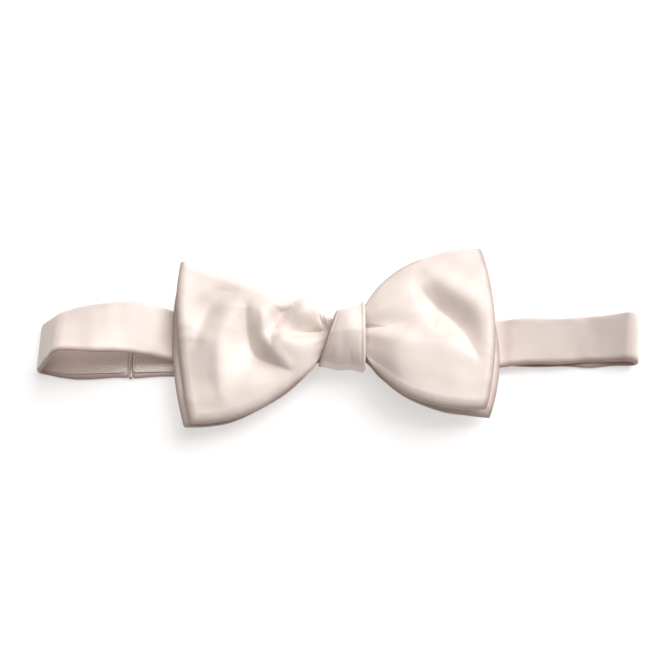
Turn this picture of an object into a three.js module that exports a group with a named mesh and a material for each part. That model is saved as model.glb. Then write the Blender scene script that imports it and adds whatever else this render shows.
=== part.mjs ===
// A pre-tied bow tie of white satin, lying on its back: X along the bow, Y up the bow, Z away from the
// surface. Two layers of cloth are gathered at the waist inside a wrapped knot, on a neck band closed by a
// bar clasp.

import * as THREE from 'three';

// Driving sizes in millimetres
const CLOTH = 1.8; // one finished layer: satin, interlining and satin
const REAR_CLOTH = 1.6; // the layer behind is not interlined as firmly
const BAND_WIDTH = 19;
const BAND_CLOTH = 1.8;
const CLEARANCE = 0.3; // air kept between two layers that lie on each other

// The neck band, laid as a flattened loop. Its left turn is walked from the end of the lower run in even
// bends and a straight wall; its right turn is half an ellipse. A lean lowers the band's top edge, or raises
// it below zero.
const LEFT_WALK = [
  { name: 'fold at the surface', length: 2.66, turn: 127, steps: 5 },
  { name: 'standing wall', length: 11.0, turn: 0, steps: 3 },
  { name: 'bend over the crest', length: 5.25, turn: 43, steps: 4 },
];
const RIGHT_TURN = { x: 105.1, reach: 4.5, steps: 10 };
const REST_Z = BAND_CLOTH / 2; // middle of the run that lies on the surface

// The run over the surface, from the right turn to the left one
const LOWER_RUN = [
  { x: 105.1, y: 0.9, width: 19 },
  { x: 92, y: 0.4, width: 19 },
  { x: 60, y: 1.0, width: 19 },
  { x: 32, y: 1.4, width: 18.4 },
  { x: 12, y: 1.6, width: 17.2 },
  { x: -10, y: 1.4, width: 17.2 },
  { x: -32, y: -0.8, width: 18.4 },
  { x: -60, y: -3.2, width: 19 },
  { x: -98, y: -4.2, width: 19 },
  { x: -104, y: -3.6, width: 19 },
  { x: -109.8, y: -2.4, width: 19 },
];

// The run behind the bow, from the left turn to the right one, squeezed to a narrower width by the knot
const UPPER_RUN = [
  { x: -98.4, y: 0.6, z: 14.3, width: 19, lean: 6.4 },
  { x: -88, y: 1.5, z: 16.0, width: 19.5, lean: 2.4 },
  { x: -78, y: 2.1, z: 14.2, width: 19.5, lean: -0.8 },
  { x: -69, y: 2.0, z: 10.6, width: 19.3, lean: -3.4 },
  { x: -61, y: 1.3, z: 6.7, width: 19, lean: -1.2 },
  { x: -48, y: 0.2, z: 5.8, width: 19, lean: 0 },
  { x: -24, y: -0.8, z: 5.4, width: 18, lean: 0 },
  { x: -8, y: -1.2, z: 5.4, width: 12.0, lean: 0 },
  { x: 3, y: -0.7, z: 5.4, width: 11.8, lean: 0 },
  { x: 13, y: -0.8, z: 5.4, width: 14.6, lean: 0 },
  { x: 30, y: -1.0, z: 5.4, width: 18, lean: -0.6 },
  { x: 56, y: -1.2, z: 5.6, width: 17.6, lean: -2.8 },
  { x: 74, y: -0.9, z: 7.2, width: 17.0, lean: -5.8 },
  { x: 90, y: -0.4, z: 8.0, width: 16.9, lean: -6.4 },
  { x: 105.1, y: 0.3, z: 6.7, width: 18.2, lean: -6.6 },
];

// The clasp and the turned seam on the band's inner face
const CLASP = { x: -77.4, y: -3.6, width: 1.2, length: 20.2, thickness: 1.6, corner: 0.4, lift: 0.05 };
const SEAM = { height: 0.8, edgeInset: 1.6, width: 3.0, tipShare: 0.25, endShare: 0.45, chamfer: 0.7 };
const SEAM_LEFT = { from: -107, to: -78.6, widensFrom: -99, widensTo: -91 };
const SEAM_RIGHT = { from: -76.2, to: -14, widensFrom: -78, widensTo: -77 };

// The front layer, section by section from the left end to the right end: where the top and the bottom edge
// run, how high the edges and the middle stand, and how far the section bows outwards
const FRONT_SECTIONS = [
  { topX: -59.0, topY: 28.3, lowX: -52.9, lowY: -32.9, topZ: 13.2, midZ: 15.4, lowZ: 10.6, bulge: -2.6 },
  { topX: -49.5, topY: 24.1, lowX: -45.5, lowY: -32.6, topZ: 13.6, midZ: 15.9, lowZ: 10.6, bulge: -1.6 },
  { topX: -38.0, topY: 20.6, lowX: -37.0, lowY: -30.8, topZ: 13.9, midZ: 16.3, lowZ: 10.8, bulge: -0.6 },
  { topX: -29.0, topY: 16.0, lowX: -29.0, lowY: -27.4, topZ: 14.2, midZ: 16.4, lowZ: 11.0, bulge: 0 },
  { topX: -22.5, topY: 12.6, lowX: -22.0, lowY: -22.7, topZ: 14.2, midZ: 16.2, lowZ: 11.1, bulge: 0 },
  { topX: -17.5, topY: 12.2, lowX: -17.0, lowY: -18.6, topZ: 14.0, midZ: 15.6, lowZ: 11.1, bulge: 0 },
  { topX: -13.0, topY: 13.0, lowX: -13.0, lowY: -15.3, topZ: 13.6, midZ: 14.8, lowZ: 11.0, bulge: 0 },
  { topX: -8.5, topY: 10.0, lowX: -10.2, lowY: -12.6, topZ: 13.2, midZ: 13.6, lowZ: 11.0, bulge: 0 },
  { topX: -4.2, topY: 6.2, lowX: -8.2, lowY: -9.8, topZ: 12.8, midZ: 12.9, lowZ: 11.6, bulge: 0 },
  { topX: -0.5, topY: 4.8, lowX: -5.8, lowY: -7.3, topZ: 12.4, midZ: 12.6, lowZ: 12.2, bulge: 0 },
  { topX: 3.5, topY: 5.4, lowX: 1.0, lowY: -7.4, topZ: 12.4, midZ: 12.6, lowZ: 12.2, bulge: 0 },
  { topX: 7.6, topY: 6.6, lowX: 7.8, lowY: -7.9, topZ: 12.4, midZ: 13.0, lowZ: 12.2, bulge: 0 },
  { topX: 11.1, topY: 12.8, lowX: 11.8, lowY: -12.2, topZ: 13.2, midZ: 14.2, lowZ: 11.8, bulge: 0 },
  { topX: 16.2, topY: 19.6, lowX: 18.0, lowY: -18.6, topZ: 14.0, midZ: 15.6, lowZ: 11.8, bulge: 0 },
  { topX: 24.2, topY: 25.9, lowX: 25.0, lowY: -23.6, topZ: 14.2, midZ: 16.2, lowZ: 12.0, bulge: 0.6 },
  { topX: 35.0, topY: 30.6, lowX: 35.0, lowY: -27.0, topZ: 13.8, midZ: 16.4, lowZ: 12.2, bulge: 1.6 },
  { topX: 44.0, topY: 33.0, lowX: 43.6, lowY: -28.2, topZ: 13.4, midZ: 16.4, lowZ: 12.2, bulge: 2.8 },
  { topX: 52.7, topY: 33.4, lowX: 51.8, lowY: -28.3, topZ: 13.4, midZ: 15.8, lowZ: 12.2, bulge: 3.8 },
];

// The layer behind, in the same columns
const REAR_SECTIONS = [
  { topX: -60.8, topY: 18.4, lowX: -55.6, lowY: -33.4, topZ: 9.7, midZ: 9.4, lowZ: 7.2, bulge: -2.6 },
  { topX: -48.0, topY: 15.6, lowX: -46.0, lowY: -33.0, topZ: 9.2, midZ: 9.2, lowZ: 7.4, bulge: -1.2 },
  { topX: -36.0, topY: 13.0, lowX: -36.0, lowY: -30.4, topZ: 9.0, midZ: 9.0, lowZ: 7.6, bulge: 0 },
  { topX: -20.0, topY: 8.4, lowX: -20.0, lowY: -21.2, topZ: 8.8, midZ: 9.0, lowZ: 8.0, bulge: 0 },
  { topX: -8.5, topY: 5.6, lowX: -9.8, lowY: -11.2, topZ: 8.2, midZ: 8.4, lowZ: 7.9, bulge: 0 },
  { topX: -0.5, topY: 4.0, lowX: -5.8, lowY: -7.2, topZ: 7.7, midZ: 7.8, lowZ: 7.7, bulge: 0 },
  { topX: 7.6, topY: 6.8, lowX: 7.8, lowY: -8.4, topZ: 7.7, midZ: 7.8, lowZ: 7.7, bulge: 0 },
  { topX: 15.0, topY: 10.0, lowX: 14.8, lowY: -15.0, topZ: 8.4, midZ: 8.8, lowZ: 7.6, bulge: 0 },
  { topX: 24.0, topY: 14.0, lowX: 24.0, lowY: -22.0, topZ: 8.8, midZ: 9.4, lowZ: 7.0, bulge: 0.4 },
  { topX: 36.0, topY: 16.0, lowX: 36.0, lowY: -26.8, topZ: 9.0, midZ: 9.8, lowZ: 6.2, bulge: 1.4 },
  { topX: 46.0, topY: 15.6, lowX: 46.0, lowY: -28.4, topZ: 9.0, midZ: 9.8, lowZ: 6.0, bulge: 2.8 },
  { topX: 54.8, topY: 14.4, lowX: 54.1, lowY: -29.3, topZ: 9.0, midZ: 9.6, lowZ: 6.0, bulge: 3.6 },
];

// Folds of the front layer: a bent line on the cloth through four places, how far the cloth stands up (or
// down, below zero) at each of them, the width of the fold on the left and on the right of the line's
// direction, and its roundness: 1 is a sharp crease, 2 a soft swell
const FOLD_COLUMNS = [
  'name', 'x1', 'y1', 'x2', 'y2', 'x3', 'y3', 'x4', 'y4', 'rise1', 'rise2', 'rise3', 'rise4', 'left', 'right',
  'roundness',
];
const FOLDS = [
  ['left shoulder', -61, 26, -60, 17, -59, 8, -58, 0, 0.6, 1.2, 1.2, 0.4, 9.0, 5.0, 2.0],
  ['left upper dent', -35, 15, -42.2, 11.4, -47.6, 6, -50.6, -2, -0.4, -1.9, -2.4, -1.2, 5.0, 6.0, 1.9],
  ['left low dent', -60, -5, -60, -12, -60, -19, -60, -26, -1.2, -2.6, -2.6, -1.0, 14.0, 5.0, 2.6],
  ['left broad ridge', -38, 6, -42.4, -2, -43, -12, -42, -23, 0.3, 1.0, 1.1, 0.4, 5.0, 3.0, 1.8],
  ['left inner valley', -34, 9, -33.6, -2, -31, -10.5, -18.5, -14, -0.8, -3.6, -3.8, -0.5, 5.6, 8.5, 1.7],
  ['left thin ridge', -28.5, 7, -26.2, 0.5, -24.2, -6.8, -18.4, -12.6, 0.3, 0.9, 1.1, 0.4, 2.6, 2.2, 2.0],
  ['left crescent', -17, 10.6, -21.4, 7, -24.3, 1, -23, -5.5, -1.4, -2.8, -2.8, -0.8, 4.0, 2.0, 1.8],
  ['left shell', -16.5, 9.4, -13.6, 9, -11, 8.2, -8, 6.6, 0.8, 1.4, 1.4, 0.6, 3.0, 4.4, 2.0],
  ['left crease', -21.5, -0.4, -17, 0.4, -11, 0.6, -2, 1.4, -0.8, -2.2, -2.4, -1.2, 3.8, 2.4, 1.6],
  ['left tongue', -19.8, -3.8, -15.4, -4.8, -10.6, -3.8, -3, -1.8, 1.4, 1.6, 1.3, 0.6, 2.8, 5.0, 2.0],
  ['right shoulder', 33, 22, 41.5, 15.8, 49.5, 8.6, 53, -4, 0.4, 1.0, 1.0, 0.4, 4.5, 4.0, 2.0],
  ['right outer valley', 27.5, 17.6, 35.4, 9.6, 43.2, 2, 48.8, -9.5, -0.4, -3.6, -3.6, -0.6, 6.2, 4.2, 1.7],
  ['right upper ridge', 10.4, 7.6, 17, 11, 25, 14.4, 31, 16.6, 1.2, 1.2, 0.8, 0.2, 6.0, 5.0, 2.0],
  ['right crease', 6, 2, 11, 1.9, 16.3, 1.6, 26, 3.4, -1.2, -2.0, -1.2, -0.4, 3.4, 1.8, 1.6],
  ['right tongue', 6, -1.8, 21.7, -4.2, 32.5, -5.4, 42.5, -3, 0.8, 1.2, 1.0, 0.6, 3.4, 9.0, 2.0],
  ['waist pleat above', -6, 3.2, -3, 3.2, 3, 3.2, 8, 4.6, 0.4, 1.0, 1.0, 0.4, 1.8, 1.8, 2.0],
  ['waist pleat below', -6, -6.4, -2, -6.4, 3, -6.4, 9, -7, 0.4, 1.0, 1.0, 0.4, 2.0, 2.0, 2.0],
];

// The knot: a flattened ring round the waists, from its slanted left mouth to its straight right mouth
const KNOT = {
  wall: 1.9,
  rearZ: 2.3,
  leftFrontZ: 18.4,
  middleFrontZ: 19.6,
  rightFrontZ: 18.8,
  leftLowX: -7.2,
  leftTopX: -0.8,
  rightX: 9.2,
  leftLowY: -10.0,
  leftTopY: 8.4,
  rightLowY: -11.8,
  rightTopY: 12.2,
  frontSquareness: 3.4,
  rearSquareness: 10,
};

// How the wall of a layer and the relief of its folds are made
const EDGE_PRESS = 2.5; // the folds fade out towards a stitched edge, sooner for a larger number
const STEEPEST_WALL = 1.4; // most that a steep fold may thicken the upright measure of its wall

// Mesh resolution
const FRONT_ALONG = 52;
const FRONT_ACROSS = 26;
const REAR_ALONG = 34;
const REAR_ACROSS = 12;
const RUN_STEPS = 4; // stations between two rows of a run
const KNOT_ROUND = 40;
const KNOT_ALONG = 8;
const FOLD_STEPS = 15;
const SEAM_STEPS = 20;

const satin = new THREE.MeshStandardMaterial({ color: 0xf1e9e2, roughness: 0.42, metalness: 0 });
const satinShade = new THREE.MeshStandardMaterial({ color: 0xe6dcd4, roughness: 0.48, metalness: 0 });
const seamCloth = new THREE.MeshStandardMaterial({ color: 0xf4e6dc, roughness: 0.6, metalness: 0 });
const darkMetal = new THREE.MeshStandardMaterial({ color: 0x6b5f55, roughness: 0.35, metalness: 0.9 });

const radians = THREE.MathUtils.degToRad;

// Smooth curve through rows of equal spacing, read at a place from 0 to 1 for one named column
function column(rows, name, place) {
  const last = rows.length - 1;
  const at = Math.min(Math.max(place, 0), 1) * last;
  const i = Math.min(Math.floor(at), last - 1);
  const before = rows[Math.max(i - 1, 0)][name];
  const after = rows[Math.min(i + 2, last)][name];
  return catmullRom(before, rows[i][name], rows[i + 1][name], after, at - i);
}

function catmullRom(a, b, c, d, t) {
  const cubic = 3 * b - a - 3 * c + d;
  const square = 2 * a - 5 * b + 4 * c - d;
  return 0.5 * (2 * b + (c - a) * t + square * t * t + cubic * t * t * t);
}

// A fold's bent line, cut into straight steps: each corner's place on the cloth and how far it stands up
function foldLine(row) {
  const fold = Object.fromEntries(row.map((value, i) => [FOLD_COLUMNS[i], value]));
  const places = [1, 2, 3, 4].map((n) => ({ x: fold[`x${n}`], y: fold[`y${n}`], rise: fold[`rise${n}`] }));
  const corners = [];
  for (let i = 0; i <= FOLD_STEPS; i += 1) {
    const t = i / FOLD_STEPS;
    corners.push({ x: column(places, 'x', t), y: column(places, 'y', t), rise: column(places, 'rise', t) });
  }
  const highest = Math.max(...corners.map((corner) => Math.abs(corner.rise)));
  return { ...fold, corners, highest };
}

// Height of one fold at a point: a rounded ridge across its line, narrower where it is low
function foldHeight(fold, x, y) {
  let nearest = Infinity;
  let side = 0;
  let rise = 0;
  for (let i = 0; i < FOLD_STEPS; i += 1) {
    const from = fold.corners[i];
    const runX = fold.corners[i + 1].x - from.x;
    const runY = fold.corners[i + 1].y - from.y;
    const length = Math.hypot(runX, runY);
    const along = ((x - from.x) * runX + (y - from.y) * runY) / length ** 2;
    const share = Math.min(Math.max(along, 0), 1);
    const offX = x - from.x - share * runX;
    const offY = y - from.y - share * runY;
    const distance = Math.hypot(offX, offY);
    if (distance < nearest) {
      nearest = distance;
      side = (runX * offY - runY * offX) / (length * Math.max(distance, 1e-6));
      rise = from.rise + (fold.corners[i + 1].rise - from.rise) * share;
    }
  }
  const fullWidth = (fold.left + fold.right) / 2 + (side * (fold.left - fold.right)) / 2;
  const width = fullWidth * Math.sqrt(Math.max(Math.abs(rise) / fold.highest, 0.1));
  return rise * Math.exp(-((nearest / width) ** fold.roundness));
}

// A point on the middle of a gathered layer, at a place along it and a place across it from the low edge
function layerPoint(rows, folds, along, across) {
  const arch = 4 * across * (1 - across);
  const lowX = column(rows, 'lowX', along);
  const topX = column(rows, 'topX', along);
  const x = lowX + (topX - lowX) * across + column(rows, 'bulge', along) * arch;
  const lowY = column(rows, 'lowY', along);
  const y = lowY + (column(rows, 'topY', along) - lowY) * across;
  const lowZ = column(rows, 'lowZ', along);
  const edgeZ = lowZ + (column(rows, 'topZ', along) - lowZ) * across;
  const crown = column(rows, 'midZ', along) - (lowZ + column(rows, 'topZ', along)) / 2;
  const pressed = Math.min(1, arch * EDGE_PRESS);
  let z = edgeZ + crown * arch;
  for (const fold of folds) z += foldHeight(fold, x, y) * pressed;
  return new THREE.Vector3(x, y, z);
}

// Turns a grid of closed rings into one solid: every ring joins the next, and where the solid isn't a closed
// ring itself, the first and the last are capped
function ringsToSolid(rings, capped) {
  const count = rings[0].length;
  const corners = rings.flat();
  const faces = [];
  const spans = capped ? rings.length - 1 : rings.length;
  for (let i = 0; i < spans; i += 1) {
    const here = i * count;
    const next = ((i + 1) % rings.length) * count;
    for (let j = 0; j < count; j += 1) {
      const k = (j + 1) % count;
      faces.push(here + j, next + j, next + k, here + j, next + k, here + k);
    }
  }
  if (capped) capRings(faces, count, (rings.length - 1) * count);
  if (enclosedVolume(corners, faces) < 0) faces.reverse();
  const geometry = new THREE.BufferGeometry();
  const places = corners.flatMap((p) => p.toArray());
  geometry.setAttribute('position', new THREE.Float32BufferAttribute(places, 3));
  geometry.setIndex(faces);
  geometry.computeVertexNormals();
  return geometry;
}

// Volume inside a closed surface, below zero when its faces point inwards
function enclosedVolume(corners, faces) {
  let sum = 0;
  const cross = new THREE.Vector3();
  for (let i = 0; i < faces.length; i += 3) {
    cross.crossVectors(corners[faces[i + 1]], corners[faces[i + 2]]);
    sum += corners[faces[i]].dot(cross) / 6;
  }
  return sum;
}

// Closes the first and the last ring with strips between the ring's two long sides
function capRings(faces, count, lastStart) {
  for (let j = 0; j < count / 2 - 1; j += 1) {
    const far = count - 1 - j;
    faces.push(j, j + 1, far - 1, j, far - 1, far);
    const a = lastStart + j;
    const b = lastStart + far;
    faces.push(a, b - 1, a + 1, a, b, b - 1);
  }
}

// One gathered layer of cloth: its lower and upper faces lie half the cloth's thickness from the middle
function gatheredLayer(rows, folds, cloth, alongSteps, acrossSteps) {
  const rings = [];
  for (let i = 0; i <= alongSteps; i += 1) {
    const middle = [];
    for (let j = 0; j <= acrossSteps; j += 1) {
      middle.push(layerPoint(rows, folds, i / alongSteps, j / acrossSteps));
    }
    const half = middle.map((p, j) => {
      const before = middle[Math.max(j - 1, 0)];
      const after = middle[Math.min(j + 1, acrossSteps)];
      const slope = (after.z - before.z) / Math.hypot(after.x - before.x, after.y - before.y);
      return (cloth / 2) * Math.min(Math.hypot(1, slope), STEEPEST_WALL);
    });
    const upper = middle.map((p, j) => new THREE.Vector3(p.x, p.y, p.z + half[j]));
    const lower = middle.map((p, j) => new THREE.Vector3(p.x, p.y, p.z - half[j]));
    rings.push([...lower, ...upper.reverse()]);
  }
  return ringsToSolid(rings, true);
}

// Middle line of the neck band from one side of the clasp round the whole loop to the other side
function bandStations() {
  const half = CLASP.width / 2 + CLEARANCE;
  const stations = [lowerStation(CLASP.x - half)];
  for (const row of LOWER_RUN) if (row.x < CLASP.x - half) stations.push(lowerStation(row.x));
  addLeftTurn(stations);
  const steps = (UPPER_RUN.length - 1) * RUN_STEPS;
  for (let i = 1; i <= steps; i += 1) {
    const station = {};
    for (const name of ['x', 'y', 'z', 'width', 'lean']) station[name] = column(UPPER_RUN, name, i / steps);
    stations.push(station);
  }
  addRightTurn(stations);
  for (const row of LOWER_RUN) if (row.x > CLASP.x + half) stations.push(lowerStation(row.x));
  stations.push(lowerStation(CLASP.x + half));
  return stations;
}

// The band's middle at a place on the run that lies on the surface
function lowerStation(x) {
  const i = Math.max(LOWER_RUN.findIndex((row, n) => n > 0 && x >= row.x), 1);
  const t = (LOWER_RUN[i - 1].x - x) / (LOWER_RUN[i - 1].x - LOWER_RUN[i].x);
  const y = LOWER_RUN[i - 1].y + (LOWER_RUN[i].y - LOWER_RUN[i - 1].y) * t;
  const width = LOWER_RUN[i - 1].width + (LOWER_RUN[i].width - LOWER_RUN[i - 1].width) * t;
  return { x, y, z: REST_Z, width, lean: 0 };
}

// Walks the left turn outwards from the last station of the lower run, up the wall and over the crest. The
// band's place along Y changes with the length walked, and its lean with the height that is reached.
function addLeftTurn(stations) {
  const start = LOWER_RUN[LOWER_RUN.length - 1];
  const end = UPPER_RUN[0];
  let { x } = start;
  let z = REST_Z;
  let heading = 180;
  let walked = 0;
  const total = LEFT_WALK.reduce((sum, part) => sum + part.length, 0);
  for (const part of LEFT_WALK) {
    for (let i = 0; i < part.steps; i += 1) {
      const middle = radians(heading - part.turn / part.steps / 2);
      x += (Math.cos(middle) * part.length) / part.steps;
      z += (Math.sin(middle) * part.length) / part.steps;
      heading -= part.turn / part.steps;
      walked += part.length / part.steps;
      const share = (z - REST_Z) / (end.z - REST_Z);
      const y = start.y + (end.y - start.y) * (walked / total);
      stations.push({ x, y, z, width: BAND_WIDTH, lean: end.lean * share });
    }
  }
}

// Half an ellipse from the upper run down to the lower one
function addRightTurn(stations) {
  const top = UPPER_RUN[UPPER_RUN.length - 1];
  const low = lowerStation(RIGHT_TURN.x);
  for (let i = 1; i < RIGHT_TURN.steps; i += 1) {
    const angle = (Math.PI * i) / RIGHT_TURN.steps;
    const share = (1 - Math.cos(angle)) / 2;
    const station = { x: RIGHT_TURN.x + RIGHT_TURN.reach * Math.sin(angle) };
    for (const name of ['y', 'z', 'width', 'lean']) {
      station[name] = top[name] + (low[name] - top[name]) * share;
    }
    stations.push(station);
  }
}

// Section of the band across its width, with rounded edges: share of the half width, share of the half cloth
const BAND_SECTION = [
  [-0.95, -1], [0.95, -1], [1, -0.5], [1, 0.5], [0.95, 1], [-0.95, 1], [-1, 0.5], [-1, -0.5],
];

function neckBand() {
  const stations = bandStations();
  const last = stations.length - 1;
  const rings = stations.map((station, i) => {
    const before = stations[Math.max(i - 1, 0)];
    const after = stations[Math.min(i + 1, last)];
    const length = Math.hypot(after.x - before.x, after.z - before.z);
    const normalX = -(after.z - before.z) / length;
    const normalZ = (after.x - before.x) / length;
    return BAND_SECTION.map(([acrossShare, clothShare]) => {
      const out = clothShare * BAND_CLOTH / 2;
      const halfWidth = Math.sqrt(station.width ** 2 - station.lean ** 2) / 2;
      const y = station.y + acrossShare * halfWidth;
      const z = station.z - acrossShare * station.lean / 2;
      return new THREE.Vector3(station.x + normalX * out, y, z + normalZ * out);
    });
  });
  return ringsToSolid(rings, true);
}

// The folded strip round the waists, as an outer and an inner skin joined at both mouths
function knotRing() {
  const rings = [];
  for (let j = 0; j < KNOT_ROUND; j += 1) {
    const angle = (2 * Math.PI * j) / KNOT_ROUND;
    const outer = [];
    const inner = [];
    for (let i = 0; i <= KNOT_ALONG; i += 1) {
      outer.push(knotPoint(angle, i / KNOT_ALONG, 0));
      inner.push(knotPoint(angle, i / KNOT_ALONG, KNOT.wall));
    }
    rings.push([...outer, ...inner.reverse()]);
  }
  return ringsToSolid(rings, false);
}

// A point of the knot at an angle round the waist and a place along it, sunk by an inset from the outer skin
function knotPoint(angle, along, inset) {
  const mix = (a, b) => a + (b - a) * along;
  const swell = Math.sin(Math.PI * along);
  const endZ = mix(KNOT.leftFrontZ, KNOT.rightFrontZ);
  const frontZ = endZ + (KNOT.middleFrontZ - (KNOT.leftFrontZ + KNOT.rightFrontZ) / 2) * swell;
  const lowY = mix(KNOT.leftLowY, KNOT.rightLowY);
  const topY = mix(KNOT.leftTopY, KNOT.rightTopY);
  const power = 2 / (Math.cos(angle) > 0 ? KNOT.frontSquareness : KNOT.rearSquareness);
  const round = (value) => Math.sign(value) * Math.abs(value) ** power;
  const halfY = (topY - lowY) / 2 - inset;
  const halfZ = (frontZ - KNOT.rearZ) / 2 - inset;
  const y = (topY + lowY) / 2 + halfY * round(Math.sin(angle));
  const z = (frontZ + KNOT.rearZ) / 2 + halfZ * round(Math.cos(angle));
  const height = (y - KNOT.leftLowY) / (KNOT.leftTopY - KNOT.leftLowY);
  const leftX = KNOT.leftLowX + (KNOT.leftTopX - KNOT.leftLowX) * Math.min(Math.max(height, 0), 1);
  return new THREE.Vector3(leftX + (KNOT.rightX - leftX) * along, y, z);
}

// A strip lying on the band's inner face beside its low edge, narrow up to where it widens
function seamStrip(strip) {
  const rings = [];
  const bottom = BAND_CLOTH + CLEARANCE;
  const section = [[-1, 0], [1, 0], [SEAM.chamfer, 1], [-SEAM.chamfer, 1]];
  for (let i = 0; i <= SEAM_STEPS; i += 1) {
    const x = strip.from + ((strip.to - strip.from) * i) / SEAM_STEPS;
    const widened = Math.min(Math.max((x - strip.widensFrom) / (strip.widensTo - strip.widensFrom), 0), 1);
    const share = SEAM.tipShare + (1 - SEAM.tipShare) * widened;
    const half = (SEAM.width / 2) * Math.min(share, SEAM.endShare + (strip.to - x) / SEAM.width);
    const run = lowerStation(x);
    const middle = run.y - run.width / 2 + SEAM.edgeInset + (SEAM.width / 2) * share;
    rings.push(section.map(([a, b]) => new THREE.Vector3(x, middle + a * half, bottom + b * SEAM.height)));
  }
  return ringsToSolid(rings, true);
}

function claspBar() {
  const { corner } = CLASP;
  const outline = new THREE.Shape();
  const halfX = CLASP.width / 2;
  const halfZ = CLASP.thickness / 2;
  outline.moveTo(-halfX + corner, -halfZ);
  outline.lineTo(halfX - corner, -halfZ);
  outline.lineTo(halfX, -halfZ + corner);
  outline.lineTo(halfX, halfZ - corner);
  outline.lineTo(halfX - corner, halfZ);
  outline.lineTo(-halfX + corner, halfZ);
  outline.lineTo(-halfX, halfZ - corner);
  outline.lineTo(-halfX, -halfZ + corner);
  const bar = new THREE.ExtrudeGeometry(outline, { depth: CLASP.length, bevelEnabled: false });
  bar.translate(0, 0, -CLASP.length / 2);
  bar.rotateX(Math.PI / 2);
  return bar;
}

function piece(name, geometry, material) {
  const mesh = new THREE.Mesh(geometry, material);
  mesh.name = name;
  return mesh;
}

const bowTie = new THREE.Group();
bowTie.name = 'bow_tie';
const frontLayer = gatheredLayer(FRONT_SECTIONS, FOLDS.map(foldLine), CLOTH, FRONT_ALONG, FRONT_ACROSS);
const rearLayer = gatheredLayer(REAR_SECTIONS, [], REAR_CLOTH, REAR_ALONG, REAR_ACROSS);
bowTie.add(piece('front_bow', frontLayer, satin));
bowTie.add(piece('rear_bow', rearLayer, satinShade));
bowTie.add(piece('knot', knotRing(), satin));
bowTie.add(piece('neck_band', neckBand(), satin));
bowTie.add(piece('seam_strip_left', seamStrip(SEAM_LEFT), seamCloth));
bowTie.add(piece('seam_strip_right', seamStrip(SEAM_RIGHT), seamCloth));

const clasp = piece('clasp', claspBar(), darkMetal);
clasp.position.set(CLASP.x, CLASP.y, CLASP.thickness / 2 + CLASP.lift);
bowTie.add(clasp);

export default bowTie;
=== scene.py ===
import math

import bpy
import numpy as np
from bpy.props import FloatProperty, PointerProperty, StringProperty
from mathutils import Euler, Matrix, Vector


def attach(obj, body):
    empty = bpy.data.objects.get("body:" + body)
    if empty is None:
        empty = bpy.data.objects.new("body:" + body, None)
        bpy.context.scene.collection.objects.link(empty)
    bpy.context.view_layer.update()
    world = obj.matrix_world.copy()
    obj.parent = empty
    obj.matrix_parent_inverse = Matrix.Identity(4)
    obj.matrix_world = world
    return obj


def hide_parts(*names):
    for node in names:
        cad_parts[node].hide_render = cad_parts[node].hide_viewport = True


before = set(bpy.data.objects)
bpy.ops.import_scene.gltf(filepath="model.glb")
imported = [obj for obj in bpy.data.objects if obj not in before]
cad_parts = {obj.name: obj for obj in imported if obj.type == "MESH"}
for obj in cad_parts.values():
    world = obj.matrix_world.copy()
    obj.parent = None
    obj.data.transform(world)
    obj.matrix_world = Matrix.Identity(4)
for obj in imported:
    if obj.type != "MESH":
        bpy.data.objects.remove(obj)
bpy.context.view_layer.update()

bl_info = {
    "name": "Satin Bow Tie",
    "version": (1, 0, 0),
    "blender": (4, 5, 0),
    "location": "3D View > Sidebar > Bow Tie",
    "description": "Builds a pre-tied bow tie of white satin with its knot, neck band, seam strips and clasp",
    "category": "Add Mesh",
}

# X runs along the bow, Y up the bow and Z away from the surface that it lies on.
# Every size below is in millimetres, and make_piece turns it to metres.
MM = 0.001
BODY = "root"
TINY = 1e-6  # keeps a division from dividing by zero

# Sections of a bow layer from its left end to its right end: where the top and the low edge run, how high the
# edges and the middle stand, and how far the section bows outwards
SECTION_COLUMNS = ("top_x", "top_y", "low_x", "low_y", "top_z", "mid_z", "low_z", "bulge")
FRONT_SECTIONS = [
    (-59.0, 28.3, -52.9, -32.9, 14.2, 15.6, 11.4, -2.6),
    (-49.5, 24.1, -45.5, -32.6, 14.6, 16.0, 11.4, -1.6),
    (-38.0, 20.6, -37.0, -30.8, 14.8, 16.4, 11.6, -0.6),
    (-29.0, 16.0, -29.0, -27.4, 15.0, 16.4, 11.8, 0.0),
    (-22.5, 12.6, -22.0, -22.7, 14.9, 16.2, 11.8, 0.0),
    (-17.5, 12.2, -17.0, -18.6, 14.6, 15.6, 11.6, 0.0),
    (-13.0, 13.0, -13.0, -15.3, 14.0, 14.8, 11.3, 0.0),
    (-8.5, 10.0, -10.2, -12.6, 13.5, 13.6, 11.0, 0.0),
    (-4.2, 6.6, -8.2, -9.8, 12.8, 12.8, 11.4, 0.0),
    (-0.5, 4.8, -5.8, -7.3, 12.4, 12.6, 12.2, 0.0),
    (3.5, 5.2, 1.0, -7.2, 12.4, 12.6, 12.2, 0.0),
    (7.6, 6.6, 7.8, -7.9, 12.6, 13.0, 12.2, 0.0),
    (11.1, 12.8, 11.8, -12.2, 13.4, 14.9, 12.2, 0.0),
    (16.2, 19.6, 18.0, -18.5, 14.0, 16.0, 12.8, 0.0),
    (24.2, 25.9, 25.0, -23.6, 14.6, 16.4, 13.6, 0.6),
    (35.0, 30.6, 35.0, -27.0, 14.6, 16.4, 14.0, 1.6),
    (44.0, 33.0, 43.6, -28.2, 14.4, 16.4, 14.2, 2.8),
    (52.7, 33.4, 51.8, -28.3, 14.4, 15.8, 14.2, 3.8),
]
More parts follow.
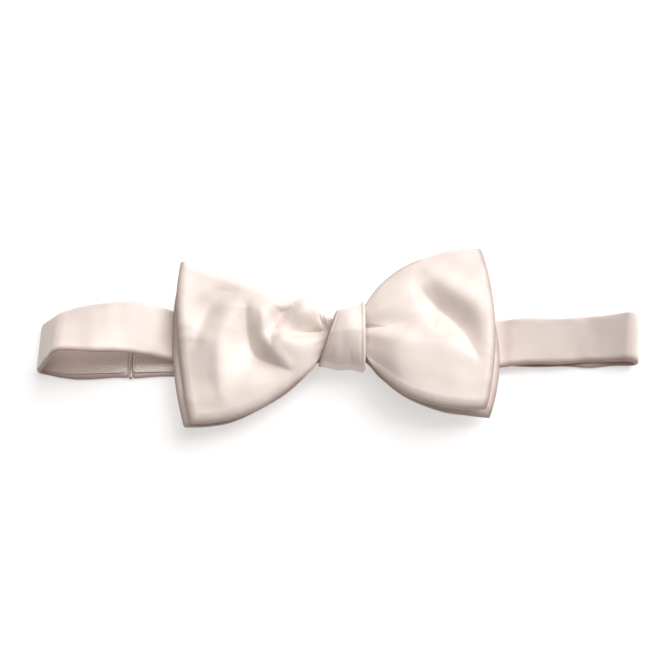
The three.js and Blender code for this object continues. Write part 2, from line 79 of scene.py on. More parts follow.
REAR_SECTIONS = [
    (-60.8, 18.4, -55.6, -33.4, 10.0, 9.4, 8.2, -2.6),
    (-48.0, 15.6, -46.0, -33.0, 9.2, 9.2, 8.0, -1.2),
    (-36.0, 13.0, -36.0, -30.4, 9.0, 9.0, 8.0, 0.0),
    (-20.0, 8.4, -20.0, -21.2, 9.0, 9.4, 8.0, 0.0),
    (-8.5, 5.6, -9.8, -11.2, 8.2, 8.4, 7.9, 0.0),
    (-0.5, 4.0, -5.8, -7.2, 7.7, 7.8, 7.7, 0.0),
    (7.6, 6.8, 7.8, -8.4, 7.7, 7.8, 7.7, 0.0),
    (15.0, 10.0, 14.8, -15.0, 8.4, 8.8, 7.6, 0.0),
    (24.0, 14.0, 24.0, -22.0, 8.8, 9.4, 7.0, 0.4),
    (36.0, 16.0, 36.0, -26.8, 9.0, 9.8, 6.2, 1.4),
    (46.0, 15.6, 46.0, -28.4, 9.0, 9.8, 6.0, 2.8),
    (54.8, 14.4, 54.1, -29.3, 9.0, 9.6, 6.0, 3.6),
]

# Folds: a bent line on the cloth through four places, how far the cloth stands up, or down below zero, at
# each of them, the width of the fold on the left and on the right of the line's direction, and its roundness:
# 1 is a sharp crease, 2 a soft swell
FOLD_COLUMNS = (
    "name", "x1", "y1", "x2", "y2", "x3", "y3", "x4", "y4", "rise1", "rise2", "rise3", "rise4",
    "left", "right", "roundness",
)
FOLD_STEPS = 90
NARROWEST_FOLD = 0.1  # a fold gets no narrower than the square root of this share of its full width
FRONT_FOLDS = [
    ("left shoulder", -61, 26, -60, 17, -59, 8, -58, 0, 0.6, 1.2, 1.2, 0.4, 9.0, 5.0, 2.0),
    ("left upper dent", -36.5, 16.5, -45, 12.5, -49.5, 6, -51.5, -3, -0.1, -2.2, -3.2, -0.9, 5.0, 6.0, 1.9),
    ("left low dent", -60, 3, -60, -7, -60, -17, -60, -26, -0.1, -2.4, -3.1, -1.1, 14.0, 5.0, 2.6),
    ("left broad ridge", -38, 6, -42.4, -2, -43, -12, -42, -23, 0.3, 1.0, 1.1, 0.4, 5.0, 3.0, 1.8),
    ("left inner valley", -34, 9, -33.4, -1.5, -29.8, -9.4, -18.5, -14, -0.8, -4.2, -4.4, -0.5, 5.2, 9, 1.6),
    ("left thin ridge", -28.5, 7, -26.2, 0.5, -24.2, -6.8, -18.4, -12.6, 0.3, 0.9, 1.1, 0.4, 2.6, 2.2, 2.0),
    ("left crescent", -17.5, 10.6, -22, 7, -25, 1, -24, -6, -1.8, -3.6, -3.4, -0.1, 3.8, 2.2, 1.8),
    ("left shell", -16.5, 9.4, -13.6, 9, -11, 8.2, -8, 6.6, 0.8, 1.4, 1.4, 0.6, 3.0, 4.4, 2.0),
    ("left crease valley", -21.5, -0.4, -17, 0.4, -11, 0.6, -4.5, 1.4, -0.8, -2.6, -2.8, -1.4, 4.2, 3.2, 1.5),
    ("left tongue", -19.8, -3.8, -15.4, -4.8, -10.6, -3.8, -5.6, -1.8, 1.6, 1.8, 1.3, 0.5, 2.8, 5.5, 2.0),
    ("right shoulder", 33, 22, 41.5, 15.8, 49.5, 8.6, 53, -4, 0.4, 1.0, 1.0, 0.4, 4.5, 4.0, 2.0),
    ("right outer valley", 27.5, 17.6, 35.4, 9.6, 43.2, 2, 48.8, -9.5, -0.4, -4.0, -4.0, -0.6, 6.2, 4.2, 1.7),
    ("right upper ridge", 10.4, 7.6, 17, 11, 25, 14.4, 31, 16.6, 1.2, 1.2, 0.8, 0.2, 6.0, 5.0, 2.0),
    ("right soft valley", 9.4, 1.6, 16.3, 1.7, 23.5, 3, 31.1, 4.6, -0.8, -0.9, -0.6, -0.3, 4.0, 2.4, 1.7),
    ("right notch", 35.2, 8.2, 34.6, 6, 34, 3.6, 33.5, 0.8, -0.3, -0.6, -0.5, -0.1, 1.3, 1.3, 2.0),
    ("right tongue", 11, -2.2, 21.7, -4.4, 32.5, -5.6, 42.5, -3, 1.1, 1.1, 0.9, 0.6, 3.4, 9.0, 2.0),
    ("right low hollow", 8, -6, 10.5, -9.5, 14.5, -13.5, 20, -17.5, -1.8, -2.2, -1.2, -0.2, 6.2, 3.0, 2.0),
]
FRONT_CREASES = [
    ("left crease", -14.2, -0.2, -11.0, 0.5, -7.6, 0.9, -4.0, 1.2, -0.5, -1.3, -1.5, -1.5, 1.1, 0.35, 1.5),
    ("left short crease", -8.6, 8.2, -7.5, 6.2, -6.3, 3.8, -5.2, 1.6, -0.2, -0.7, -1.2, -1.4, 0.6, 0.6, 1.4),
    ("left inner crease", -6.6, 6.8, -6.1, 5.6, -5.7, 4.2, -5.3, 2.6, -0.2, -0.5, -0.8, -1.2, 0.5, 0.5, 1.4),
    ("right crease", 8.0, 2.2, 10.5, 1.9, 13.2, 1.4, 16.4, 1.2, -1.5, -1.4, -0.8, -0.2, 0.7, 0.4, 1.4),
]
REAR_FOLDS = [
    ("rear left ridge", -12, 3, -24, 5.4, -38, 7.6, -50, 10, 0.5, 0.5, 0.4, 0.1, 4, 4, 2),
    ("rear left valley", -12, -2, -24, -2, -35, -2, -46, -2, -0.8, -1.2, -0.9, -0.2, 3, 3, 2),
    ("rear left low ridge", -12, -6, -23, -10.6, -34, -15.6, -44, -20, 0.5, 0.6, 0.6, 0.2, 4, 4, 2),
    ("rear right ridge", 12, 4, 22, 6.2, 34, 8, 46, 9, 0.3, 0.3, 0.2, 0.1, 4, 4, 2),
    ("rear right valley", 12, -1, 22, -1.8, 33, -2.8, 44, -4, -0.8, -1.1, -0.9, -0.3, 3.4, 3.4, 2),
    ("rear right low ridge", 12, -6, 22, -10, 33, -14, 44, -18, 0.5, 0.6, 0.5, 0.2, 4, 4, 2),
]

# How a layer is made up
CROWN_SQUARENESS = 2.5
EDGE_RELIEF = 0.2  # share of the folds that reaches the stitched edges
EDGE_PRESS = 2.5  # how soon the folds gain their full height away from an edge
EDGE_DROP = 1.8  # how far the cloth bends down at an edge, over the width of the next line
EDGE_TURN = 3.6
EDGE_ROLL = 0.9  # width of the rolled edge
SEAM_LEDGE = 0.05  # height of the ledge that the seam allowance makes
LEDGE_FADE = 0.8  # how far to each side of the allowance's end the ledge fades
PUCKER_FROM = 0.3  # distances from the edge where the puckers begin and where they are highest
PUCKER_FULL = 1.4
LEAST_CLOTH = 0.45  # least thickness left under a crease
WAIST_X = 1.5
GATHER_REACH = 13.0
GATHER_DEPTH = 0.2
GATHERS = 4
GATHER_PHASE = 0.6
FRONT_STEPS = (280, 168)  # steps of the grid along the layer and across it
REAR_STEPS = (200, 110)
ALONG_CLOSENESS = 0.3  # how much closer the grid lies towards its borders
ACROSS_CLOSENESS = 0.75

# Painted shade: near an edge the cloth's colour is darkened, over the first reach below. The top edge gets
# this painted shade only near TINTED_TOP_X: its marks are pushed past the painted shade between two
# distances from there.
PAINTED_SHADE_REACH = 2.4
PAST_TINT = 4.0
TINTED_TOP_X = 18.0
TINTED_TOP_FADE = (10.0, 20.0)

# Waves of made-up satin: heights in millimetres, rates in radians per millimetre. A wave's line bends by a
# slower wave along X and Y.
RIPPLE_COLUMNS = ("height", "rate_x", "rate_y", "phase", "bend", "bend_x", "bend_y", "bend_phase")
CLOTH_RIPPLES = [
    (0.07, 0.45, 0.22, 0.0, 0.9, 0.0, 0.21, 0.0),
    (0.06, -0.36, 0.31, 0.0, 1.1, 0.17, 0.0, 0.0),
    (0.04, 0.16, 0.66, 0.0, 0.7, 0.3, 0.0, 1.0),
    (0.03, 0.71, -0.5, 2.0, 0.0, 0.0, 0.0, 0.0),
]
PUCKER_WAVE = (1.35, 1.1, 0.37)  # a wave of one length: its rate, its bend and the bend's rate

# The knot: a flattened ring round the waists, from its slanted left mouth to its straight right mouth
KNOT_REAR_Z = 2.3
KNOT_LEFT_FRONT_Z = 18.4
KNOT_MIDDLE_FRONT_Z = 19.3
KNOT_RIGHT_FRONT_Z = 18.8
KNOT_LEFT_LOW_X = -7.2
KNOT_LEFT_TOP_X = -0.8
KNOT_RIGHT_X = 9.2
KNOT_LEFT_LOW_Y = -10.0
KNOT_LEFT_TOP_Y = 8.4
KNOT_RIGHT_LOW_Y = -11.8
KNOT_RIGHT_TOP_Y = 12.2
KNOT_LEAN = 0.2
KNOT_LOW_SQUARENESS = 1.6  # front half below the knot's middle
KNOT_TOP_SQUARENESS = 2.6
KNOT_REAR_SQUARENESS = 10.0
KNOT_FRONT_FADE = 0.15  # the front's squareness goes over to the rear's up to this cosine on each side
KNOT_TOP_FADE = 0.3  # and the low one to the top one up to this sine
KNOT_RIM_HEIGHT = 0.16  # a ridge and a groove along each mouth, their distances from it and their width
KNOT_RIDGE_AT = 0.7
KNOT_GROOVE_AT = 1.6
KNOT_RIM_WIDTH = 0.45
KNOT_RELIEF_DEPTH = 0.8  # the relief dies away from this share of the rim's radius to the inner skin
KNOT_RIPPLE_SHARE = 0.5
KNOT_RIPPLE_STRETCH = 0.8
KNOT_ROUND_LENGTH = 75.0  # the cloth's way round the waists, and round its own section
KNOT_SECTION_LENGTH = 32.0
KNOT_AROUND = 260
KNOT_SKIN_STEPS = 56
KNOT_RIM_STEPS = 10
KNOT_FOLDS = [
    ("knot left swell", 1.6, 4.0, -0.6, -2.0, -1.4, -8.0, -0.8, -15.0, 0.0, 0.1, 0.4, 0.9, 3.6, 3.0, 2.0),
    ("knot middle groove", 4.0, -2.0, 3.8, -6.0, 3.8, -10.0, 4.0, -15.0, 0.0, 0.0, -0.2, -0.6, 1.6, 1.6, 2.0),
    ("knot right swell", 6.0, -2.0, 7.0, -6.0, 7.4, -10.0, 7.6, -15.0, 0.0, 0.0, 0.2, 0.6, 1.6, 1.6, 2.0),
    ("knot upper swell", -1.0, 5.4, 2.0, 6.0, 5.0, 6.6, 8.0, 7.0, 0.8, 1.0, 0.9, 0.6, 4.0, 8.0, 2.0),
    ("knot right dip", 5.8, 12.0, 6.2, 9.0, 6.4, 5.0, 6.4, 0.0, -0.5, -0.6, -0.4, -0.1, 1.6, 3.4, 2.0),
]

# The neck band, laid as a flattened loop: stations on the run behind the bow, from the left turn to the
# right, then those on the run below it, from right to left. A lean lowers the band's top edge, or raises it
# below zero.
BAND_WIDTH = 19.0
BAND_COLUMNS = ("x", "y", "z", "width", "lean")
UPPER_RUN = [
    (-99.06, 0.6, 14.84, 19.0, 6.4),
    (-88.0, 1.5, 15.6, 19.5, 2.4),
    (-78.0, 2.1, 13.8, 19.5, -0.8),
    (-69.0, 2.0, 10.6, 19.3, -3.4),
    (-61.0, 1.3, 6.7, 19.0, -1.2),
    (-48.0, 0.2, 5.8, 19.0, 0.0),
    (-24.0, -0.8, 5.4, 18.0, 0.0),
    (-8.0, -1.2, 5.4, 12.0, 0.0),
    (3.0, -0.7, 5.4, 11.8, 0.0),
    (13.0, -0.8, 5.4, 14.6, 0.0),
    (30.0, -1.0, 5.4, 18.0, -0.6),
    (56.0, -1.2, 4.8, 17.6, -2.2),
    (65.0, -1.0, 6.6, 17.2, -4.4),
    (74.0, -0.9, 6.9, 17.0, -5.8),
    (90.0, -0.4, 6.7, 16.9, -7.2),
    (98.0, -0.1, 7.6, 17.4, -8.2),
    (105.1, 0.3, 9.4, 18.2, -9.0),
]
LOWER_RUN = [
    (105.1, 0.9, 0.9, 19.0, 0.0),
    (92.0, 0.4, 0.9, 19.0, 0.0),
    (60.0, 1.0, 0.9, 19.0, 0.0),
    (32.0, 1.4, 0.9, 18.4, 0.0),
    (12.0, 1.6, 0.9, 17.2, 0.0),
    (-10.0, 1.4, 0.9, 17.2, 0.0),
    (-32.0, -0.8, 0.9, 18.4, 0.0),
    (-60.0, -3.2, 0.9, 19.0, 0.0),
    (-98.0, -4.2, 0.9, 19.0, 0.0),
    (-104.0, -3.6, 0.9, 19.0, 0.0),
    (-109.8, -2.4, 0.9, 19.0, 0.0),
]
BAND_AROUND = 64
BAND_SQUARENESS = 14.0
BAND_FACE_SQUARENESS = 2.6
BAND_END_GAP = 0.9  # from the middle of the clasp to each end of the band
BAND_END_ROLL = 0.8  # length over which an end rolls off, the flat left on it, and how much it narrows
BAND_END_FLAT = 0.12
BAND_END_NARROWING = 0.4
BAND_WANDER = 0.22  # how far the long edges wander, and how fast that dies away from them
BAND_WANDER_WAVE = (0.26, 0.8, 0.11)
BAND_WANDER_POWER = 4
BAND_RIPPLES = [  # height, slant, then the three values of a wave
    (0.13, 0.25, 0.42, 1.2, 0.13),
    (0.08, -0.3, 0.9, 0.0, 0.0),
]
BAND_RIPPLE_POWER = 6  # how close to the long edges the ripples keep their height
RIGHT_TURN_REACH = 4.5
UPPER_STATIONS = 281
RIGHT_TURN_STATIONS = 21
LEFT_TURN_STATIONS = 61
LOWER_LEFT_STATIONS = 60
LOWER_STATIONS = 200

# The left turn, walked from the end of the lower run: the length of each part, and its turn in degrees
LEFT_WALK = [
    ("fold at the surface", 2.66, 127.0),
    ("standing wall", 12.0, 0.0),
    ("bend over the crest", 5.25, 49.0),
]

# The clasp bar, along Y
CLASP_X = -77.4
CLASP_Y = -3.6
CLASP_Z = 0.85
CLASP_LENGTH = 20.2
CLASP_HALF_WIDTH = 0.6
CLASP_HALF_DEPTH = 0.8
CLASP_SQUARENESS = 4.0
CLASP_END_ROLL = 0.8
CLASP_ALONG = 61
CLASP_AROUND = 32
CLASP_GIRTH = 6.0

# The two lengths of turned seam on the band's inner face: where each begins and ends, between which two
# places it widens to its full width, and that width
SEAM_COLUMNS = ("name", "start", "end", "widens_from", "widens_to", "width")
SEAMS = [
    ("seam_strip_left", -107.0, -78.6, -99.0, -91.0, 3.0),
    ("seam_strip_right", -76.2, -14.0, -78.0, -77.0, 3.0),
]
SEAM_TIP_SHARE = 0.25  # share of the full width up to where it widens
SEAM_BOTTOM_Z = 2.1
SEAM_HEIGHT = 0.8
SEAM_EDGE_INSET = 1.6
SEAM_START_ROLL = 1.2
SEAM_END_ROLL = 1.5
SEAM_DOME_POWER = 0.75
SEAM_STATIONS_PER_MM = 8
SEAM_AROUND = 48
CORDS = 4
CORD_HEIGHT = 0.16
CORD_WANDERS = [(0.14, 0.55, 0.5), (0.08, 1.3, 0.0)]  # share of the half width, rate and phase
CRINKLE_HEIGHT = 0.05
CRINKLE_RATE = 3.1
CRINKLE_SLANT = 4
END_FLAT = 0.02  # the flat left on a rounded end, so that its last ring keeps a width

# The studio: places and diameters in metres, powers in watts
CAMERA_PLACE = (-0.0025, -0.1201, 0.3433)
CAMERA_TILT = 20.0
CAMERA_LENS = 52.35
CAMERA_SENSOR = 36.0
LIGHT_TARGET = (0.0, 0.0, 0.01)
LIGHT_COLUMNS = ("name", "place", "diameter", "power", "colour")
STUDIO_LIGHTS = [
    ("key_softbox", (2.2, 1.98, 2.8), 3.4, 178.0, "#ffffff"),
    ("top_softbox", (0.2, 0.6, 4.2), 3.0, 60.0, "#fffaf6"),
]
WORLD_COLOUR = "#fff0e8"
WORLD_STRENGTH = 0.12
FLOOR_GLOW = 0.5
FLOOR_REACH = 4.0


class BowSizes(bpy.types.PropertyGroup):
    """Sizes of the bow tie's cloth and of how it is made up."""

    front_cloth: FloatProperty(
        name="Front layer",
        description="Thickness of the front layer: satin, interlining and satin",
        default=1.8 * MM,
        unit="LENGTH",
        precision=5,
    )
    rear_cloth: FloatProperty(
        name="Rear layer",
        description="Thickness of the layer behind, which is interlined more lightly",
        default=1.6 * MM,
        unit="LENGTH",
        precision=5,
    )
    band_cloth: FloatProperty(
        name="Neck band",
        description="Thickness of the folded neck band",
        default=1.8 * MM,
        unit="LENGTH",
        precision=5,
    )
    knot_wall: FloatProperty(
        name="Knot wall",
        description="Thickness of the folded strip that is wrapped round the waists",
        default=1.9 * MM,
        unit="LENGTH",
        precision=5,
    )
    seam_allowance: FloatProperty(
        name="Seam allowance",
        description="Width of the turned-in seam that shows as a faint ledge along the edges",
        default=3.5 * MM,
        unit="LENGTH",
        precision=5,
    )
    pucker: FloatProperty(
        name="Pucker",
        description="Height of the small puckers along the stitched edges",
        default=0.03 * MM,
        unit="LENGTH",
        precision=6,
    )


class BowColours(bpy.types.PropertyGroup):
    """Colours of the cloth, the clasp and the floor."""

    satin: StringProperty(name="Satin", description="Hex colour of the satin", default="#f3e7e0")
    # One colour both for the dye's random darker patches and for the painted shade along the edges
    satin_dye_and_painted_shade: StringProperty(
        name="Satin shade", description="Hex colour of the satin where it turns under", default="#b39c93"
    )
    # Painted light: the seam is the same satin, its colour made lighter to stand in for light falling on it
    seam_satin: StringProperty(
        name="Seam satin", description="Hex colour of the turned seam", default="#fbf3ee"
    )
    clasp_metal: StringProperty(
        name="Clasp metal", description="Hex colour of the clasp bar", default="#b3a89e"
    )
    floor: StringProperty(name="Floor", description="Hex colour of the studio floor", default="#c9c9c9")


def linear_colour(hex_text):
    """A colour written as #rrggbb in sRGB, as the four linear numbers that a shader takes."""
    channels = [int(hex_text[i:i + 2], 16) / 255 for i in (1, 3, 5)]
    return [c / 12.92 if c <= 0.04045 else ((c + 0.055) / 1.055) ** 2.4 for c in channels] + [1.0]


def smooth_rows(rows, names, place):
    """Columns of a table at places from 0 to 1: Catmull-Rom curves through the rows, evenly spaced."""
    values = np.array([row[-len(names):] for row in rows], float)
    last = len(values) - 1
    at = np.clip(place, 0.0, 1.0) * last
    i = np.minimum(at.astype(int), last - 1)
    t = (at - i)[:, None]
    a = values[np.maximum(i - 1, 0)]
    b = values[i]
    c = values[i + 1]
    d = values[np.minimum(i + 2, last)]
    curve = 0.5 * (2 * b + (c - a) * t + (2 * a - 5 * b + 4 * c - d) * t**2 + (3 * b - a - 3 * c + d) * t**3)
    return {name: curve[:, k:k + 1] for k, name in enumerate(names)}


def eased_steps(count, closeness):
    """Places from 0 to 1 that lie closer at both ends: t - closeness * sin(2 pi t) / (2 pi)."""
    t = np.linspace(0.0, 1.0, count + 1)
    return t - closeness * np.sin(2 * math.pi * t) / (2 * math.pi)


def fold_relief(rows, x, y):
    """Height of all folds of a table at the points (x, y).

    For each fold the nearest place on its bent line (a Catmull-Rom curve through its four places, cut into
    FOLD_STEPS straight steps) gives the distance and the rise there. The height is rise * exp(-(distance /
    width)**roundness). The width goes smoothly from the left one to the right one round the line's ends, and
    shrinks with the square root of the rise, so a fold is narrow where it is low.
    """
    total = np.zeros_like(x)
    for row in rows:
        f = dict(zip(FOLD_COLUMNS, row))
        places = [(f["x%d" % k], f["y%d" % k], f["rise%d" % k]) for k in (1, 2, 3, 4)]
        line = smooth_rows(places, ("x", "y", "rise"), np.linspace(0.0, 1.0, FOLD_STEPS + 1))
        start_x = line["x"][:-1, :, None]
        start_y = line["y"][:-1, :, None]
        run_x = np.diff(line["x"], axis=0)[:, :, None]
        run_y = np.diff(line["y"], axis=0)[:, :, None]
        length = np.hypot(run_x, run_y)
        share = np.clip(((x - start_x) * run_x + (y - start_y) * run_y) / length**2, 0.0, 1.0)
        off_x = x - start_x - share * run_x
        off_y = y - start_y - share * run_y
        distance = np.hypot(off_x, off_y)
        side = (run_x * off_y - run_y * off_x) / (length * np.maximum(distance, TINY))
        rise = line["rise"][:-1, :, None] + share * np.diff(line["rise"], axis=0)[:, :, None]
        nearest = np.argmin(distance, axis=0)[None]
        distance, side, rise = (np.take_along_axis(v, nearest, axis=0)[0] for v in (distance, side, rise))
        width = (f["right"] + f["left"]) / 2 + side * (f["left"] - f["right"]) / 2
        width = width * np.sqrt(np.maximum(np.abs(rise) / np.abs(line["rise"]).max(), NARROWEST_FOLD))
        total += rise * np.exp(-((distance / width) ** f["roundness"]))
    return total


def soft_step(value, low, high):
    """0 below low, 1 above high, and between them 3 t**2 - 2 t**3."""
    t = np.clip((value - low) / (high - low), 0.0, 1.0)
    return t * t * (3 - 2 * t)


def signed_power(value, power):
    """sign(value) * |value|**power, which makes a superellipse of a circle."""
    return np.sign(value) * np.abs(value) ** power


def bent_wave(place, rate, bend, bend_rate, shift=0.0):
    """A wave whose length varies slowly: sin(rate * place + shift + bend * sin(bend_rate * place))."""
    return np.sin(rate * place + shift + bend * np.sin(bend_rate * place))


def path_lengths(points, axis):
    """Length walked from the first row of a grid of points along one axis."""
    steps = np.linalg.norm(np.diff(points, axis=axis), axis=2)
    return np.concatenate([np.zeros_like(steps.take([0], axis=axis)), np.cumsum(steps, axis=axis)], axis=axis)


def edge_distances(points):
    """Distance of every point of a grid from each of its four edges, walked over the cloth."""
    along = path_lengths(points, 0)
    across = path_lengths(points, 1)
    return along, along[-1:] - along, across, across[:, -1:] - across


def surface_normals(points):
    """Unit normals of a grid of points: the cross product of its two directions."""
    normals = np.cross(np.gradient(points, axis=0), np.gradient(points, axis=1))
    return normals / np.linalg.norm(normals, axis=2, keepdims=True)


def rolled_half(half, distance, roll):
    """Half thickness at a distance from an edge: a quarter ellipse over the roll, then flat."""
    t = np.clip(1 - distance / roll, 0.0, 1.0)
    return half * np.sqrt(1 - t * t)


def middle_angles(count):
    """The angles in the middle of each of a full turn's equal parts, as one row."""
    return 2 * math.pi * (np.arange(count)[None] + 0.5) / count


def cloth_ripple(x, y):
    """Slight unevenness of made-up satin, about a tenth of a millimetre: the sum of four waves 7 to 13 mm
    long, each height * sin(rate_x * x + rate_y * y + phase + bend * sin(bend_x * x + bend_y * y +
    bend_phase))."""
    total = np.zeros_like(x)
    for row in CLOTH_RIPPLES:
        w = dict(zip(RIPPLE_COLUMNS, row))
        bend = w["bend"] * np.sin(w["bend_x"] * x + w["bend_y"] * y + w["bend_phase"])
        total += w["height"] * np.sin(w["rate_x"] * x + w["rate_y"] * y + w["phase"] + bend)
    return total


def make_piece(name, points, faces, corner_uv, marks, material, nodes):
    """A smooth mesh whose place is in its vertices: points in millimetres, faces as lists of indices, one UV
    pair for each face corner in the faces' order, and named values for each vertex."""
    mesh = bpy.data.meshes.new(name)
    mesh.from_pydata((points * MM).tolist(), [], faces)
    mesh.uv_layers.new(name="cloth").data.foreach_set("uv", np.asarray(corner_uv, np.float32).ravel())
    for mark, values in marks.items():
        mesh.attributes.new(mark, "FLOAT", "POINT").data.foreach_set("value", np.asarray(values, np.float32))
    mesh.shade_smooth()
    mesh.materials.append(material)
    piece = bpy.data.objects.new(name, mesh)
    bpy.context.scene.collection.objects.link(piece)
    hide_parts(*nodes)
    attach(piece, BODY)
    return piece


def outward(points, faces):
    """Index quads turned to face outwards: all are reversed if the volume that they enclose comes out below
    zero."""
    a, b, c, d = (points[faces[:, k]] for k in range(4))
    volume = np.einsum("ij,ij->", a, np.cross(b, c)) + np.einsum("ij,ij->", a, np.cross(c, d))
    return faces if volume > 0 else faces[:, ::-1]


def pad_mesh(front, back, uv_mm):
    """Two grids of points that share their border, as points, outward quads and each corner's UV pair."""
    rows, columns = front.shape[:2]
    upper = np.arange(rows * columns).reshape(rows, columns)
    inside = np.zeros((rows, columns), bool)
    inside[1:-1, 1:-1] = True
    lower = upper.copy()
    lower[inside] = rows * columns + np.arange(inside.sum())
    points = np.concatenate([front.reshape(-1, 3), back[inside]])
    uv = np.concatenate([uv_mm.reshape(-1, 2), uv_mm[inside]])
    quads = [
        np.stack([grid[:-1, :-1], grid[1:, :-1], grid[1:, 1:], grid[:-1, 1:]], axis=2).reshape(-1, 4)
        for grid in (upper, lower)
    ]
    faces = outward(points, np.concatenate([quads[0], quads[1][:, ::-1]]))
    return points, faces, uv[faces]


def ring_mesh(rings, along_mm, around_mm, closed):
    """Rings of points (ring, place round it) joined into a skin. It closes on itself where closed is true,
    and otherwise the first and the last ring are capped. UV pairs follow the two lists of lengths, which run
    one past the last ring or point where the skin closes."""
    count, around = rings.shape[:2]
    points = rings.reshape(-1, 3)
    i, j = np.meshgrid(np.arange(count if closed else count - 1), np.arange(around), indexing="ij")
    corner_rows = np.stack([i, i + 1, i + 1, i], axis=2).reshape(-1, 4)
    corner_columns = np.stack([j, j, j + 1, j + 1], axis=2).reshape(-1, 4)
    faces = (corner_rows % count) * around + corner_columns % around
    uv = np.stack([np.asarray(along_mm)[corner_rows], np.asarray(around_mm)[corner_columns]], axis=2)
    turned = outward(points, faces)
    if turned is not faces:
        uv = uv[:, ::-1]
    faces = turned.tolist()
    uv = uv.reshape(-1, 2)
    if not closed:
        first = list(range(around))
        last = [(count - 1) * around + k for k in first]
        flipped = turned[0][1] != around
        faces.append(first[::-1] if flipped else first)
        faces.append(last if flipped else last[::-1])
        uv = np.concatenate([uv, np.zeros((2 * around, 2))])
    return points, faces, uv


def bow_layer(rows, folds, creases, cloth, steps, sizes):
    """Front and back skin of one gathered layer, its UV lengths and each point's distance from a
    painted-shade edge.

    The middle runs straight from the low edge to the top edge of each section, bowed sideways by bulge * arch
    with arch = 4 v (1 - v), and raised by crown * (1 - |2 v - 1|**CROWN_SQUARENESS). Folds add their relief,
    mostly pressed flat at the edges, and gathers add a cosine across the layer that dies away from the waist.
    Away from the waist the edges, but for the right end, bend down by EDGE_DROP * (1 - distance /
    EDGE_TURN)**2. Both skins lie along the normal of that middle at half the cloth's thickness, which rolls
    to nothing at the edges, and sharp creases cut the front skin only.
    """
    place = eased_steps(steps[0], ALONG_CLOSENESS)
    across = eased_steps(steps[1], ACROSS_CLOSENESS)
    c = smooth_rows(rows, SECTION_COLUMNS, place)
    arch = 4 * across * (1 - across)
    x = c["low_x"] + (c["top_x"] - c["low_x"]) * across + c["bulge"] * arch
    y = c["low_y"] + (c["top_y"] - c["low_y"]) * across
    crown = c["mid_z"] - (c["low_z"] + c["top_z"]) / 2
    z = c["low_z"] + (c["top_z"] - c["low_z"]) * across
    z = z + crown * (1 - np.abs(2 * across - 1) ** CROWN_SQUARENESS)
    pressed = EDGE_RELIEF + (1 - EDGE_RELIEF) * np.minimum(1.0, arch * EDGE_PRESS)
    z = z + fold_relief(folds, x, y) * pressed
    waist = np.exp(-(((x - WAIST_X) / GATHER_REACH) ** 2))
    z = z + GATHER_DEPTH * waist * np.cos(2 * math.pi * GATHERS * across + GATHER_PHASE)
    z = z + cloth_ripple(x, y) * np.minimum(1.0, arch * EDGE_PRESS)
    edges = edge_distances(np.stack([x, y, z], axis=2))
    from_left, from_right, from_low, from_top = edges
    bent = np.minimum(from_left, np.minimum(from_low, from_top))
    nearest = np.minimum(bent, from_right)
    z = z - EDGE_DROP * np.clip(1 - bent / EDGE_TURN, 0.0, 1.0) ** 2 * (1 - waist)
    middle = np.stack([x, y, z], axis=2)
    normal = surface_normals(middle)
    if normal[:, :, 2].mean() < 0:
        normal = -normal
    half = cloth / 2
    for distance in edges:
        half = rolled_half(half, distance, EDGE_ROLL)
    allowance = sizes.seam_allowance / MM
    ledge = 1 - soft_step(nearest, allowance - LEDGE_FADE, allowance + LEDGE_FADE)
    pucker = sizes.pucker / MM * bent_wave(from_left + from_low, *PUCKER_WAVE)
    pucker = pucker * soft_step(nearest, PUCKER_FROM, PUCKER_FULL)
    pucker = pucker * (1 - soft_step(nearest, PUCKER_FULL, allowance))
    rolled = half / (cloth / 2)
    front_lift = half + (SEAM_LEDGE * ledge + pucker + fold_relief(creases, x, y)) * rolled
    front_lift = np.maximum(front_lift, LEAST_CLOTH * rolled - half)
    front = middle + normal * front_lift[:, :, None]
    back = middle - normal * (half + SEAM_LEDGE * ledge * rolled)[:, :, None]
    flat_length = float(from_left[-1].max())
    flat_width = float(from_low[:, -1].max())
    uv = np.stack(np.meshgrid(place * flat_length, across * flat_width, indexing="ij"), axis=2)
    # Distances for the painted shade: darker colour near the edges, on the top edge only near TINTED_TOP_X
    tinted_top = from_top + PAST_TINT * soft_step(np.abs(x - TINTED_TOP_X), *TINTED_TOP_FADE)
    turned = np.minimum(np.minimum(from_left, from_right), np.minimum(from_low, tinted_top))
    return front, back, uv, turned


def make_layer(name, rows, folds, creases, cloth, steps, material, sizes):
    """One bow layer as a piece: its two skins joined."""
    front, back, uv, turned = bow_layer(rows, folds, creases, cloth, steps, sizes)
    points, faces, corner_uv = pad_mesh(front, back, uv)
    # Painted shade darkens the colour near the edges that these distances mark
    marks = {"painted_shade_edge_mm": np.concatenate([turned.ravel(), turned[1:-1, 1:-1].ravel()])}
    layer = make_piece(name + "_satin", points, faces.tolist(), corner_uv, marks, material, [name])


